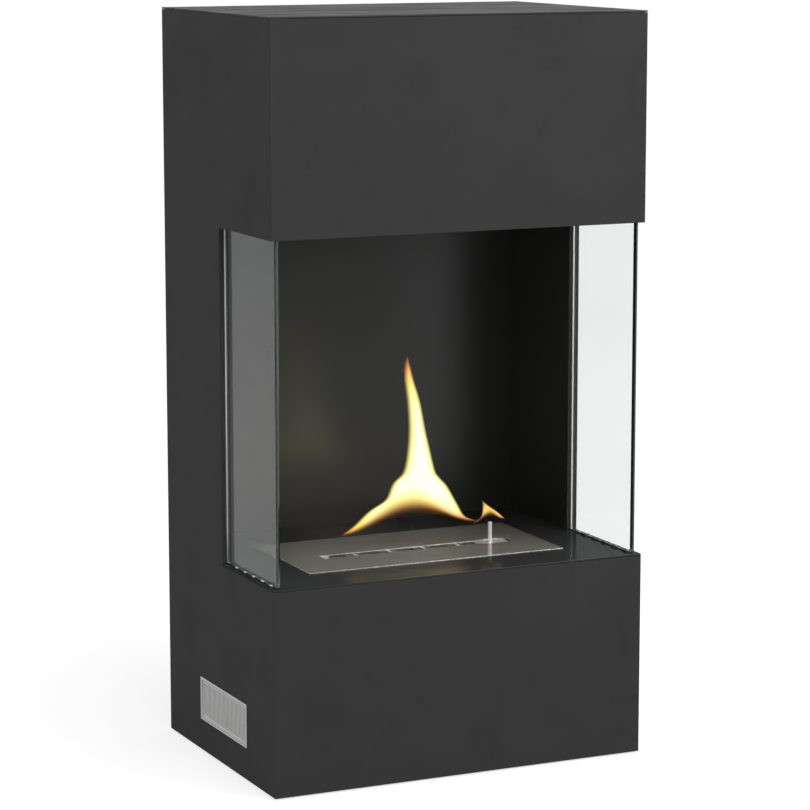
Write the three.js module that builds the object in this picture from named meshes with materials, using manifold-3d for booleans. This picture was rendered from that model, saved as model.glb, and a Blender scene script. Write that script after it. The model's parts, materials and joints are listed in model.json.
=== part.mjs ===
// Bioethanol fireplace: a tall double-walled steel casing with a see-through
// fire opening, two side panes of glass and a drop-in stainless burner.
//
// Millimetres. +X is to the right, +Y runs from the front to the back and +Z
// is up. The origin is on the floor, under the middle of the casing.

import * as THREE from 'three';
import { mergeVertices } from 'three/addons/utils/BufferGeometryUtils.js';
import Module from 'manifold-3d';

const wasm = await Module();
wasm.setup();

// ---------------------------------------------------------------- dimensions

// Casing, outside
const WIDTH = 480;
const DEPTH = 340;
const HEIGHT = 900;
const LOWER_BLOCK = 248.5; // floor to hearth surface
const UPPER_BLOCK = 250; // closed box above the fire
const OPENING_DEPTH = 160; // side openings, from the front backwards

// Sheet steel and how it meets
const SKIN = 2; // outer casing
const LINER = 1.5; // inner sheets
const WALL = 16; // double wall, outer face to inner face
const BACK_GAP = 22; // fire wall, in front of the casing's back edge
const SEAM = 0.4; // open joint between outer sheets
const GAP = 0.3; // assembly clearance between separate pieces
const RETURN = 18; // width of the sides' folded rear edge
const REAR_INSET = 3.5; // rear panel, behind the casing's back edge
const LID_FLANGE = 18;
const TRAY_FLANGE = 15;

// Feet
const GLIDE_HEIGHT = 2;
const GLIDE_RADIUS = 15;
const GLIDE_INSET = 30;

// Angles inside the blocks
const ANGLE_LEG = 20;
const ANGLE_SHEET = 2;
const SIDE_RAIL_SETBACK = 35; // side rails, from the casing's front and back
const CEILING_RAIL_SETBACK = 32.1; // ceiling rails, behind the side opening

// Weld studs and nuts behind the front panels
const STUD_RADIUS = 2.5;
const STUD_LENGTH = 8;
const STUD_CLEARANCE = 0.4;
const NUT_ACROSS = 8;
const NUT_HEIGHT = 4;

// Rear panel
const SCREW_RADIUS = 1.8;
const SCREW_LENGTH = 8;
const SCREW_HEAD_RADIUS = 3.8;
const SCREW_HEAD_HEIGHT = 2.4;
const SCREW_RIM = 1.1; // height of the head's upright edge
const SCREW_DOME_RADIUS = 2.7; // where the head's dome flattens out
const SCREW_DOME_HEIGHT = 2.2;
const SCREW_EDGE = 10; // from the rear panel's edge to its screws
const SCREW_ROWS = 3;
const SCREW_MARGIN = 60;
const VENT_SLOT_LENGTH = 40;
const VENT_SLOT_WIDTH = 3.5;
const VENT_SLOT_PITCH = 12;
const VENT_SLOT_ROWS = 4;
const VENT_SLOT_COLUMNS = 3;
const VENT_SLOT_SPACING = 70;
const VENT_SLOT_MARGIN = 70;
const AIR_SLOT_PITCH = 50; // least room for each slot that lets air rise in the walls

// Air grilles low in the sides
const GRILLE_LENGTH = 148;
const GRILLE_HEIGHT = 53;
const GRILLE_SETBACK = 88; // from the front
const GRILLE_LOW = 40; // above the floor
const GRILLE_BORDER = 4;
const GRILLE_LIP = 1.2;
const GRILLE_REBATE = 2; // how far the lip overlaps the insert
const GRILLE_FLANGE = 5;
const INSERT_SHEET = 1;
const INSERT_SLIT = 1.2;
const INSERT_PITCH = 4.2;
const INSERT_RIM = 2.4;

// Glass
const GLASS = 5;
const GLASS_INSET = 6; // outer face, in from the side of the casing
const GLASS_FRONT = 6; // front edge, back from the front
const GLASS_BACK_GAP = 0.5; // to the closing strip
const GLASS_ENTRY = 6; // top edge, above the ceiling's underside
const GLASS_LIFT = 8;
const CHANNEL_SIDE_GAP = 0.5; // glass to channel and to the ceiling's slot
const CHANNEL_WALL = 1.8;
const STRIP_HEIGHT = 0.6; // joins the pads into one strip
const PAD_BASE = 1;
const PAD_WALL = 1.7;
const PAD_HEIGHT = 2.5;
const PAD_LENGTH = 10;
const PAD_PITCH = 26.3;
const PAD_COUNT = 5;
const PAD_FIRST = 19; // middle of the first pad, from the front

// Burner
const PLATE_WIDTH = 336;
const PLATE_DEPTH = 171;
const PLATE_SETBACK = 63.5; // front edge, from the front of the casing
const PLATE_SHEET = 1;
const PLATE_CORNER = 2;
const FLANGE = 12; // the plate's rest on the hearth, all round
const TANK_CLEARANCE = 3;
const TANK_WALL = 1.5;
const TANK_DEPTH = 62;
const WELL_CLEARANCE = 9; // tank's bottom to the well's
const WELL_FLANGE = 10;
const SLOT_START = 48; // from the plate's left edge
const SLOT_WIDTH = 17;
const SLOT_SETBACK = 74.5; // middle of the slot, from the plate's front edge
const SLOT_END_LENGTH = 41; // the wider round-ended part, for the pin
const SLOT_END_WIDTH = 24;
const BRIDGE_FIRST = 43; // middle of the first bridge, from the slot's start
const BRIDGE_PITCH = 45.6;
const BRIDGE_COUNT = 4;
const BRIDGE_WIDTH = 3;
const LAST_STRETCH = 30.2; // middle of the last bridge to the slot's end
const WINDOW_MARGIN = 1; // last window, in from the slot's end
const WINDOW_LENGTH = 22;
const DECK_WINDOW_WIDTH = 15;
const SHUTTER_WINDOW_WIDTH = 16;
const DECK_SHEET = 1.5;
const SHUTTER_SHEET = 1.5;
const SHUTTER_WIDTH = 60;
const GUIDE_WIDTH = 6;
const GUIDE_END_GAP = 6;
const STOP_CLEARANCE = 0.6; // left at either end of the shutter's travel
const PIN_RADIUS = 2.5;
const PIN_HEIGHT = 24; // above the plate
const PIN_TIP = 0.7;
const PIN_SPIGOT_RADIUS = 1.7;
const PIN_FROM_END = 15; // middle, from the start of the wide part
const WOOL_GAP = 5; // wool to tank wall
const FUEL_SPACE = 6.9; // free height between the wool and the deck

// Fineness of curves and cuts
const ARC_STEPS = 4; // half the chords of each arc
const SMALL_ARC_STEPS = 1; // the same, for the rear panel's slots
const ROUND_SIDES = 24;
const NEARLY_ROUND = 0.999; // keeps the two arcs of a slot's end apart
const OVERSHOOT = 1; // how far a cutter runs past the face it cuts
const WELD = 1e-4; // corners closer than this are one

// ------------------------------------------------------------ worked-out places

const sideX = WIDTH / 2;
const frontY = -DEPTH / 2;
const backY = DEPTH / 2;
const baseZ = GLIDE_HEIGHT;
const hearthZ = LOWER_BLOCK;
const ceilingZ = HEIGHT - UPPER_BLOCK;
const openingBackY = frontY + OPENING_DEPTH;
const fireWallY = backY - BACK_GAP;
const insideX = sideX - SKIN - GAP; // reach of sheets that lie between the sides
const insideFrontY = frontY + SKIN + GAP;
const sideFrontY = frontY + SKIN + SEAM; // front edge of the side panels
const rearPanelY = backY - REAR_INSET - LINER; // front face of the rear panel
const returnY = rearPanelY - GAP - SKIN; // front face of the folded rear edge
const insideBackY = returnY - GAP;
const lidZ = HEIGHT - SKIN;
const outerTopZ = lidZ - SEAM;
const outerShelfZ = hearthZ - SKIN - SEAM; // top of the sheets under the hearth
const underHearthZ = hearthZ - SKIN - GAP;
const aboveBaseZ = baseZ + SKIN + GAP;

const grilleY0 = frontY + GRILLE_SETBACK;
const grilleY1 = grilleY0 + GRILLE_LENGTH;
const grilleZ1 = GRILLE_LOW + GRILLE_HEIGHT;

const glassOuterX = sideX - GLASS_INSET;
const glassMiddleX = glassOuterX - GLASS / 2;
const glassY0 = frontY + GLASS_FRONT;
const glassY1 = openingBackY - GLASS_BACK_GAP;
const glassZ0 = hearthZ + PAD_BASE + GAP;
const glassZ1 = ceilingZ + GLASS_ENTRY;

const plateX0 = -PLATE_WIDTH / 2;
const plateY0 = frontY + PLATE_SETBACK;
const plateY1 = plateY0 + PLATE_DEPTH;
const cutX = PLATE_WIDTH / 2 - FLANGE;
const cutY0 = plateY0 + FLANGE;
const cutY1 = plateY1 - FLANGE;
const tankX = cutX - TANK_CLEARANCE;
const tankY0 = cutY0 + TANK_CLEARANCE;
const tankY1 = cutY1 - TANK_CLEARANCE;
const tankZ0 = hearthZ - TANK_DEPTH;
const slotX0 = plateX0 + SLOT_START;
const lastBridgeX = slotX0 + BRIDGE_FIRST + (BRIDGE_COUNT - 1) * BRIDGE_PITCH;
const slotX1 = lastBridgeX + LAST_STRETCH;
const slotY = plateY0 + SLOT_SETBACK;
const pinX = slotX1 + PIN_FROM_END;
const travelRight = SLOT_END_LENGTH - PIN_FROM_END - PIN_RADIUS - STOP_CLEARANCE;
const travelLeft = PIN_FROM_END - PIN_RADIUS - STOP_CLEARANCE;
const shutterZ1 = hearthZ - GAP;
const shutterZ0 = shutterZ1 - SHUTTER_SHEET;
const deckZ1 = shutterZ0 - GAP;
const deckZ0 = deckZ1 - DECK_SHEET;

// ---------------------------------------------------------------- materials

const paint = (color, roughness) => () => (
  new THREE.MeshStandardMaterial({ color, roughness, metalness: 0.1 })
);
const metal = (color, roughness) => () => (
  new THREE.MeshStandardMaterial({ color, roughness, metalness: 1 })
);
const casingPaint = paint(0x3a3a3a, 0.6);
const firePaint = paint(0x1c1c1a, 0.35);
const zincSteel = metal(0x9b9d9f, 0.45);
const brushedSteel = metal(0xa8a49c, 0.35);
const rubber = paint(0x222222, 0.9);
const whiteWool = paint(0xd8d5cc, 0.95);
const clearSilicone = () => (
  new THREE.MeshStandardMaterial({
    color: 0xe8eeee,
    roughness: 0.2,
    transparent: true,
    opacity: 0.6,
  })
);
const paneGlass = () => (
  new THREE.MeshStandardMaterial({
    color: 0xdfeeea,
    roughness: 0.03,
    transparent: true,
    opacity: 0.3,
  })
);

// ---------------------------------------------------------------- solids

// A closed geometry as a solid that can be joined and cut.
function solid(geometry) {
  const bare = geometry.index ? geometry.toNonIndexed() : geometry.clone();
  bare.deleteAttribute('normal');
  bare.deleteAttribute('uv');
  const merged = mergeVertices(bare, WELD);
  return new wasm.Manifold(new wasm.Mesh({
    numProp: 3,
    vertProperties: new Float32Array(merged.attributes.position.array),
    triVerts: new Uint32Array(merged.index.array),
  }));
}

function join(solids) {
  return solids.reduce((sum, next) => sum.add(next));
}

function cut(body, tools) {
  return tools.reduce((rest, tool) => rest.subtract(tool), body);
}

// A box between two corners.
function block([x0, x1], [y0, y1], [z0, z1]) {
  const box = new THREE.BoxGeometry(x1 - x0, y1 - y0, z1 - z0);
  return solid(box.translate((x0 + x1) / 2, (y0 + y1) / 2, (z0 + z1) / 2));
}

// An outline's points given thickness along one axis. They are (x, y) for
// axis z, (y, z) for axis x and (x, z) for axis y.
function slab(points, axis, low, high) {
  const flat = new THREE.ExtrudeGeometry(new THREE.Shape(points), {
    depth: high - low,
    bevelEnabled: false,
  });
  const place = new THREE.Matrix4();
  if (axis === 'z') {
    place.makeTranslation(0, 0, low);
  } else if (axis === 'x') {
    place.set(0, 0, 1, low, 1, 0, 0, 0, 0, 1, 0, 0, 0, 0, 0, 1);
  } else {
    place.set(1, 0, 0, 0, 0, 0, -1, high, 0, 1, 0, 0, 0, 0, 0, 1);
  }
  return solid(flat.applyMatrix4(place));
}

// A flat sheet with its holes punched right through.
function sheet(outline, axis, low, high, steps = ARC_STEPS) {
  const holes = outline.holes.map((hole) => (
    slab(hole.getPoints(steps), axis, low - OVERSHOOT, high + OVERSHOOT)
  ));
  return cut(slab(outline.getPoints(steps), axis, low, high), holes);
}

function polygon(points) {
  return new THREE.Shape(points.map(([u, v]) => new THREE.Vector2(u, v)));
}

function rectangle([u0, u1], [v0, v1]) {
  return polygon([[u0, v0], [u1, v0], [u1, v1], [u0, v1]]);
}

function roundedRectangle([u0, u1], [v0, v1], radius) {
  const shape = new THREE.Shape();
  shape.moveTo(u0 + radius, v0);
  shape.lineTo(u1 - radius, v0);
  shape.absarc(u1 - radius, v0 + radius, radius, -Math.PI / 2, 0);
  shape.absarc(u1 - radius, v1 - radius, radius, 0, Math.PI / 2);
  shape.absarc(u0 + radius, v1 - radius, radius, Math.PI / 2, Math.PI);
  shape.absarc(u0 + radius, v0 + radius, radius, Math.PI, Math.PI * 1.5);
  return shape;
}

// A slot with round ends, along u.
function roundEnded([u0, u1], middle, width) {
  const half = width / 2;
  return roundedRectangle([u0, u1], [middle - half, middle + half], half * NEARLY_ROUND);
}

// A straight round bar from one end point along an axis.
function rod(radius, length, axis, [x, y, z], sides = ROUND_SIDES) {
  const bar = new THREE.CylinderGeometry(radius, radius, length, sides);
  bar.translate(0, length / 2, 0);
  if (axis === 'x') bar.rotateZ(-Math.PI / 2);
  if (axis === 'z') bar.rotateX(Math.PI / 2);
  return solid(bar.translate(x, y, z));
}

// A folded angle: two legs of the same width that meet at a corner and run
// between two places along an axis. The signs say which way the legs point.
function angle(axis, [from, to], corner, [uSign, vSign]) {
  const [u, v] = corner;
  const thick = ANGLE_SHEET;
  const points = [
    [0, 0],
    [ANGLE_LEG, 0],
    [ANGLE_LEG, thick],
    [thick, thick],
    [thick, ANGLE_LEG],
    [0, ANGLE_LEG],
  ].map(([a, b]) => [u + uSign * a, v + vSign * b]);
  return sheet(polygon(points), axis, from, to);
}

// The same solid on the right-hand side of the object.
function mirrored(body) {
  return body.mirror([1, 0, 0]);
}

// Evenly spaced places about the middle of a stretch.
function spread(count, pitch, middle = 0) {
  return Array.from({ length: count }, (_, i) => middle + (i - (count - 1) / 2) * pitch);
}

// Places shared out from one end of a stretch to the other.
function between(count, from, to) {
  return Array.from({ length: count }, (_, i) => from + ((to - from) * i) / (count - 1));
}

const fireplace = new THREE.Group();
fireplace.name = 'bioethanol_fireplace';

function add(name, body, material) {
  const { vertProperties, triVerts, numProp } = body.getMesh();
  const position = new Float32Array((vertProperties.length / numProp) * 3);
  for (let i = 0; i < position.length / 3; i += 1) {
    position.set(vertProperties.subarray(i * numProp, i * numProp + 3), i * 3);
  }
  const geometry = new THREE.BufferGeometry();
  geometry.setAttribute('position', new THREE.BufferAttribute(position, 3));
  geometry.setIndex(new THREE.BufferAttribute(new Uint32Array(triVerts), 1));
  geometry.computeVertexNormals();
  const mesh = new THREE.Mesh(geometry, material());
  mesh.name = name;
  fireplace.add(mesh);
}

function addPair(name, leftBody, material) {
  add(`left_${name}`, leftBody, material);
  add(`right_${name}`, mirrored(leftBody), material);
}

// ---------------------------------------------------------------- side panels

const screwXs = [-insideX + SCREW_EDGE, insideX - SCREW_EDGE];
const screwZs = between(SCREW_ROWS, baseZ + SCREW_MARGIN, HEIGHT - SCREW_MARGIN);

// Holes for the rear screws through a sheet whose front face is at y.
function screwHoles(y, thickness, xs) {
  const length = thickness + 2 * OVERSHOOT;
  return xs.flatMap((x) => screwZs.map((z) => (
    rod(SCREW_RADIUS + GAP, length, 'y', [x, y - OVERSHOOT, z])
  )));
}

// One sheet with the fire opening cut from its front edge, folded inwards
// beside the opening and along its back edge.
function sidePanel() {
  const outline = polygon([
    [sideFrontY, baseZ],
    [backY, baseZ],
    [backY, outerTopZ],
    [sideFrontY, outerTopZ],
    [sideFrontY, ceilingZ],
    [openingBackY, ceilingZ],
    [openingBackY, outerShelfZ],
    [sideFrontY, outerShelfZ],
  ]);
  outline.holes.push(rectangle(
    [grilleY0 - GAP, grilleY1 + GAP],
    [GRILLE_LOW - GAP, grilleZ1 + GAP],
  ));
  const skin = sheet(outline, 'x', -sideX, -sideX + SKIN);
  const closingStrip = block(
    [-sideX, -sideX + WALL],
    [openingBackY, openingBackY + SKIN],
    [hearthZ + GAP, ceilingZ - GAP],
  );
  const rearReturn = block(
    [-sideX + SKIN / 2, -sideX + SKIN + RETURN],
    [returnY, returnY + SKIN],
    [aboveBaseZ, lidZ - GAP],
  );
  const holes = screwHoles(returnY, SKIN, [screwXs[0]]);
  return cut(join([skin, closingStrip, rearReturn]), holes);
}

addPair('side_panel', sidePanel(), casingPaint);

// ---------------------------------------------------------------- front panels

// One weld stud behind each end of the panel, with a nut over the angle.
const studX = sideX - SKIN - GAP - ANGLE_LEG / 2;

function frontPanel(low, high) {
  const skin = block([-sideX, sideX], [frontY, frontY + SKIN], [low, high]);
  const z = (low + high) / 2;
  const stud = rod(STUD_RADIUS, STUD_LENGTH + SKIN / 2, 'y', [-studX, frontY + SKIN / 2, z]);
  return join([skin, stud, mirrored(stud)]);
}

function frontNut(z) {
  const y = insideFrontY + ANGLE_SHEET;
  const hexRadius = NUT_ACROSS / Math.sqrt(3);
  const length = NUT_HEIGHT + 2 * OVERSHOOT;
  const bore = rod(STUD_RADIUS + GAP, length, 'y', [-studX, y - OVERSHOOT, z]);
  return cut(rod(hexRadius, NUT_HEIGHT, 'y', [-studX, y, z], 6), [bore]);
}

// The angle behind a front corner of a block, with a hole for the stud.
function cornerAngle(low, high, studZ) {
  const body = angle('z', [low, high], [-insideX, insideFrontY], [1, 1]);
  const radius = STUD_RADIUS + STUD_CLEARANCE;
  const length = ANGLE_SHEET + 2 * OVERSHOOT;
  const hole = rod(radius, length, 'y', [-studX, insideFrontY - OVERSHOOT, studZ]);
  return cut(body, [hole]);
}

const channelTopZ = glassZ1 + GLASS_LIFT + CHANNEL_SIDE_GAP + CHANNEL_WALL;

[
  ['lower', baseZ, outerShelfZ, aboveBaseZ, underHearthZ - GAP],
  ['upper', ceilingZ, outerTopZ, channelTopZ + GAP, lidZ - GAP],
].forEach(([where, low, high, angleLow, angleHigh]) => {
  const studZ = (low + high) / 2;
  const corner = cornerAngle(angleLow, angleHigh, studZ);
  const nut = frontNut(studZ);
  add(`${where}_front_panel`, frontPanel(low, high), casingPaint);
  add(`${where}_left_corner_angle`, corner, zincSteel);
  add(`${where}_right_corner_angle`, mirrored(corner), zincSteel);
  add(`${where}_left_nut`, nut, zincSteel);
  add(`${where}_right_nut`, mirrored(nut), zincSteel);
});

// ---------------------------------------------------------------- lid and base

// The lid's flanges hang inside the side panels.
function topPanel() {
  const top = block([-sideX, sideX], [frontY, backY], [lidZ, HEIGHT]);
  const y0 = insideFrontY + ANGLE_LEG + GAP;
  const flange = block(
    [-insideX, -insideX + SKIN],
    [y0, insideBackY],
    [lidZ - LID_FLANGE, lidZ + SKIN / 2],
  );
  return join([top, flange, mirrored(flange)]);
}

// A shallow tray between the side panels, with its rim turned up.
function basePanel() {
  const y0 = insideFrontY + ANGLE_LEG + GAP;
  const tray = block([-insideX, insideX], [insideFrontY, insideBackY], [baseZ, baseZ + SKIN]);
  const rimZ = [baseZ + SKIN / 2, baseZ + SKIN + TRAY_FLANGE];
  const side = block([-insideX, -insideX + SKIN], [y0, insideBackY], rimZ);
  const rear = block([-insideX, insideX], [insideBackY - SKIN, insideBackY], rimZ);
  return join([tray, side, mirrored(side), rear]);
}

add('top_panel', topPanel(), casingPaint);
add('base_panel', basePanel(), casingPaint);

const glideX = sideX - GLIDE_INSET;
const glideY = DEPTH / 2 - GLIDE_INSET;
[['front_left', -1, -1], ['front_right', 1, -1], ['rear_left', -1, 1], ['rear_right', 1, 1]]
  .forEach(([place, xSign, ySign]) => {
    const foot = rod(GLIDE_RADIUS, GLIDE_HEIGHT, 'z', [xSign * glideX, ySign * glideY, 0]);
    add(`${place}_glide`, foot, rubber);
  });

// ---------------------------------------------------------------- rear panel

function rearPanel() {
  const outline = rectangle([-insideX, insideX], [baseZ, outerTopZ]);
  const rows = [
    ...spread(VENT_SLOT_ROWS, VENT_SLOT_PITCH, baseZ + VENT_SLOT_MARGIN),
    ...spread(VENT_SLOT_ROWS, VENT_SLOT_PITCH, HEIGHT - VENT_SLOT_MARGIN),
  ];
  rows.forEach((z) => {
    spread(VENT_SLOT_COLUMNS, VENT_SLOT_SPACING).forEach((x) => {
      const ends = [x - VENT_SLOT_LENGTH / 2, x + VENT_SLOT_LENGTH / 2];
      outline.holes.push(roundEnded(ends, z, VENT_SLOT_WIDTH));
    });
  });
  const panel = sheet(outline, 'y', rearPanelY, rearPanelY + LINER, SMALL_ARC_STEPS);
  return cut(panel, screwHoles(rearPanelY, LINER, screwXs));
}

// A domed head behind the panel, and a shank through it and a folded edge.
function rearScrew(x, z) {
  const profile = [
    [0, -SCREW_LENGTH],
    [SCREW_RADIUS, -SCREW_LENGTH],
    [SCREW_RADIUS, 0],
    [SCREW_HEAD_RADIUS, 0],
    [SCREW_HEAD_RADIUS, SCREW_RIM],
    [SCREW_DOME_RADIUS, SCREW_DOME_HEIGHT],
    [0, SCREW_HEAD_HEIGHT],
  ].map(([r, y]) => new THREE.Vector2(r, y));
  const screw = new THREE.LatheGeometry(profile, ROUND_SIDES / 2);
  return solid(screw.translate(x, rearPanelY + LINER, z));
}

add('rear_panel', rearPanel(), casingPaint);
screwZs.forEach((z, row) => {
  add(`rear_screw_left_${row + 1}`, rearScrew(screwXs[0], z), zincSteel);
  add(`rear_screw_right_${row + 1}`, rearScrew(screwXs[1], z), zincSteel);
});

// ---------------------------------------------------------------- hearth and ceiling

// Slots through a shelf, inside the double walls.
function airSlots(side) {
  const middleX = side * (sideX - (SKIN + WALL - LINER) / 2);
  const room = fireWallY - openingBackY;
  const count = Math.floor(room / AIR_SLOT_PITCH);
  const middleY = (openingBackY + fireWallY) / 2;
  return spread(count, room / count, middleY).map((y) => rectangle(
    [middleX - VENT_SLOT_WIDTH / 2, middleX + VENT_SLOT_WIDTH / 2],
    [y - VENT_SLOT_LENGTH / 2, y + VENT_SLOT_LENGTH / 2],
  ));
}

// The hearth is one plate. It covers the lower block out to its edges in
// front of the opening's back corner, and lies inside the side panels behind.
function hearthFloor() {
  const stepY = openingBackY - SEAM;
  const cutOut = rectangle([-cutX, cutX], [cutY0, cutY1]);
  const front = rectangle([-sideX, sideX], [frontY, stepY]);
  const behind = rectangle([-insideX, insideX], [frontY + SKIN, insideBackY]);
  front.holes.push(cutOut);
  behind.holes.push(cutOut, ...airSlots(-1), ...airSlots(1));
  return join([front, behind].map((part) => sheet(part, 'z', hearthZ - SKIN, hearthZ)));
}

function glassSlot(side) {
  const half = GLASS / 2 + CHANNEL_SIDE_GAP;
  return rectangle(
    [side * glassMiddleX - half, side * glassMiddleX + half],
    [glassY0 - CHANNEL_SIDE_GAP, glassY1 + CHANNEL_SIDE_GAP],
  );
}

function fireboxCeiling() {
  const outline = rectangle([-insideX, insideX], [insideFrontY, insideBackY]);
  outline.holes.push(glassSlot(-1), glassSlot(1));
  outline.holes.push(...airSlots(-1), ...airSlots(1));
  return sheet(outline, 'z', ceilingZ, ceilingZ + SKIN);
}

// The fire wall, folded backwards along its foot and its head.
function backLiner() {
  const y0 = fireWallY;
  const y1 = insideBackY - GAP;
  const z0 = hearthZ;
  const z1 = ceilingZ - GAP;
  return sheet(polygon([
    [y0, z0],
    [y1, z0],
    [y1, z0 + LINER],
    [y0 + LINER, z0 + LINER],
    [y0 + LINER, z1 - LINER],
    [y1, z1 - LINER],
    [y1, z1],
    [y0, z1],
  ]), 'x', -insideX, insideX);
}

// The inner skin of the double wall, folded towards the side at its back.
function columnLiner() {
  const y0 = openingBackY + SKIN + GAP;
  const y1 = fireWallY - GAP;
  const zRange = [hearthZ, ceilingZ - GAP];
  const innerX = -sideX + WALL;
  const wall = block([innerX - LINER, innerX], [y0, y1], zRange);
  const fold = block([-insideX, innerX - LINER / 2], [y1 - LINER, y1], zRange);
  return join([wall, fold]);
}

add('hearth_floor', hearthFloor(), firePaint);
add('firebox_ceiling', fireboxCeiling(), firePaint);
add('firebox_back_liner', backLiner(), firePaint);
addPair('column_liner', columnLiner(), firePaint);

// Rails that the hearth plate lies on
const railX = insideX - ANGLE_LEG - GAP;
const frontRail = angle(
  'x', [-railX, railX], [insideFrontY, underHearthZ], [1, -1],
);
const rearRail = angle(
  'x', [-railX, railX], [insideBackY, underHearthZ], [-1, -1],
);
add('hearth_front_rail', frontRail, zincSteel);
add('hearth_rear_rail', rearRail, zincSteel);
addPair('hearth_side_rail', angle(
  'y',
  [frontY + SIDE_RAIL_SETBACK, backY - SIDE_RAIL_SETBACK],
  [-insideX, underHearthZ],
  [1, -1],
), zincSteel);

// Rails above the ceiling, behind the glass channels
addPair('ceiling_side_rail', angle(
  'y',
  [openingBackY + CEILING_RAIL_SETBACK, insideBackY - GAP],
  [-insideX, ceilingZ + SKIN + GAP],
  [1, 1],
), zincSteel);

// ---------------------------------------------------------------- burner well

function burnerWell() {
  const z1 = underHearthZ;
  const z0 = tankZ0 - WELL_CLEARANCE - LINER;
  const outer = block(
    [-cutX - LINER, cutX + LINER],
    [cutY0 - LINER, cutY1 + LINER],
    [z0, z1],
  );
  const rim = block(
    [-cutX - WELL_FLANGE, cutX + WELL_FLANGE],
    [cutY0 - WELL_FLANGE, cutY1 + WELL_FLANGE],
    [z1 - LINER, z1],
  );
  const hollow = block([-cutX, cutX], [cutY0, cutY1], [z0 + LINER, z1 + OVERSHOOT]);
  return cut(join([outer, rim]), [hollow]);
}

add('burner_well', burnerWell(), zincSteel);

// ---------------------------------------------------------------- air grilles

// A band with a rectangular outline and a rectangular opening, lying in the
// plane of the side panel.
function band(margin, border, depth0, depth1) {
  const outline = rectangle(
    [grilleY0 - margin, grilleY1 + margin],
    [GRILLE_LOW - margin, grilleZ1 + margin],
  );
  outline.holes.push(rectangle(
    [grilleY0 + border, grilleY1 - border],
    [GRILLE_LOW + border, grilleZ1 - border],
  ));
  return sheet(outline, 'x', -sideX + depth0, -sideX + depth1);
}

const insertInset = GRILLE_BORDER - GRILLE_REBATE;
const insertDepth = GRILLE_LIP + GAP;
const flangeDepth = SKIN + GAP;

function grilleFrame() {
  const inner = insertInset - GAP;
  const lip = band(0, GRILLE_BORDER, 0, GRILLE_LIP);
  const body = band(0, inner, GRILLE_LIP / 2, flangeDepth + INSERT_SHEET);
  const flange = band(GRILLE_FLANGE, inner, flangeDepth, flangeDepth + INSERT_SHEET);
  return join([lip, body, flange]);
}

function grilleInsert() {
  const yRange = [grilleY0 + insertInset, grilleY1 - insertInset];
  const zRange = [GRILLE_LOW + insertInset, grilleZ1 - insertInset];
  const outline = rectangle(yRange, zRange);
  const rim = GRILLE_REBATE + INSERT_RIM;
  const room = yRange[1] - yRange[0] - 2 * rim;
  const count = Math.floor(room / INSERT_PITCH);
  spread(count, INSERT_PITCH, (yRange[0] + yRange[1]) / 2).forEach((y) => {
    outline.holes.push(rectangle(
      [y - INSERT_SLIT / 2, y + INSERT_SLIT / 2],
      [zRange[0] + rim, zRange[1] - rim],
    ));
  });
  const x0 = -sideX + insertDepth;
  return sheet(outline, 'x', x0, x0 + INSERT_SHEET);
}

addPair('grille_frame', grilleFrame(), brushedSteel);
addPair('grille_insert', grilleInsert(), brushedSteel);

// ---------------------------------------------------------------- glass

function pane() {
  return block(
    [-glassOuterX, -glassOuterX + GLASS],
    [glassY0, glassY1],
    [glassZ0, glassZ1],
  );
}

// A strip of clear silicone with saddles that the pane's foot stands in.
function padStrip() {
  const half = GLASS / 2 + GAP;
  const outer = half + PAD_WALL;
  const middle = -glassMiddleX;
  const section = polygon([
    [middle - outer, hearthZ],
    [middle + outer, hearthZ],
    [middle + outer, hearthZ + PAD_HEIGHT],
    [middle + half, hearthZ + PAD_HEIGHT],
    [middle + half, hearthZ + PAD_BASE],
    [middle - half, hearthZ + PAD_BASE],
    [middle - half, hearthZ + PAD_HEIGHT],
    [middle - outer, hearthZ + PAD_HEIGHT],
  ]);
  const pads = Array.from({ length: PAD_COUNT }, (_, i) => {
    const y = frontY + PAD_FIRST + i * PAD_PITCH;
    return sheet(section, 'y', y - PAD_LENGTH / 2, y + PAD_LENGTH / 2);
  });
  const web = block(
    [middle - half, middle + half],
    [frontY + PAD_FIRST, frontY + PAD_FIRST + (PAD_COUNT - 1) * PAD_PITCH],
    [hearthZ, hearthZ + STRIP_HEIGHT],
  );
  return join([web, ...pads]);
}

// The covered channel on the ceiling that the pane's top edge stands in.
function glassChannel() {
  const half = GLASS / 2 + CHANNEL_SIDE_GAP;
  const middle = -glassMiddleX;
  const z0 = ceilingZ + SKIN;
  const outer = block(
    [middle - half - CHANNEL_WALL, middle + half + CHANNEL_WALL],
    [glassY0 - CHANNEL_SIDE_GAP, glassY1 + CHANNEL_SIDE_GAP],
    [z0, channelTopZ],
  );
  const hollow = block(
    [middle - half, middle + half],
    [glassY0 - 2 * CHANNEL_SIDE_GAP, glassY1 + 2 * CHANNEL_SIDE_GAP],
    [z0 - OVERSHOOT, channelTopZ - CHANNEL_WALL],
  );
  return cut(outer, [hollow]);
}

addPair('glass_pane', pane(), paneGlass);
addPair('glass_pad_strip', padStrip(), clearSilicone);
addPair('glass_channel', glassChannel(), zincSteel);

// ---------------------------------------------------------------- burner

const bridgeXs = Array.from(
  { length: BRIDGE_COUNT },
  (_, i) => slotX0 + BRIDGE_FIRST + i * BRIDGE_PITCH,
);

// The open stretches of the slot, between its ends and its bridges.
function slotCells() {
  const starts = [slotX0, ...bridgeXs.map((x) => x + BRIDGE_WIDTH / 2)];
  const ends = [...bridgeXs.map((x) => x - BRIDGE_WIDTH / 2), slotX1];
  return starts.map((start, i) => [start, ends[i]]);
}

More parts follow.
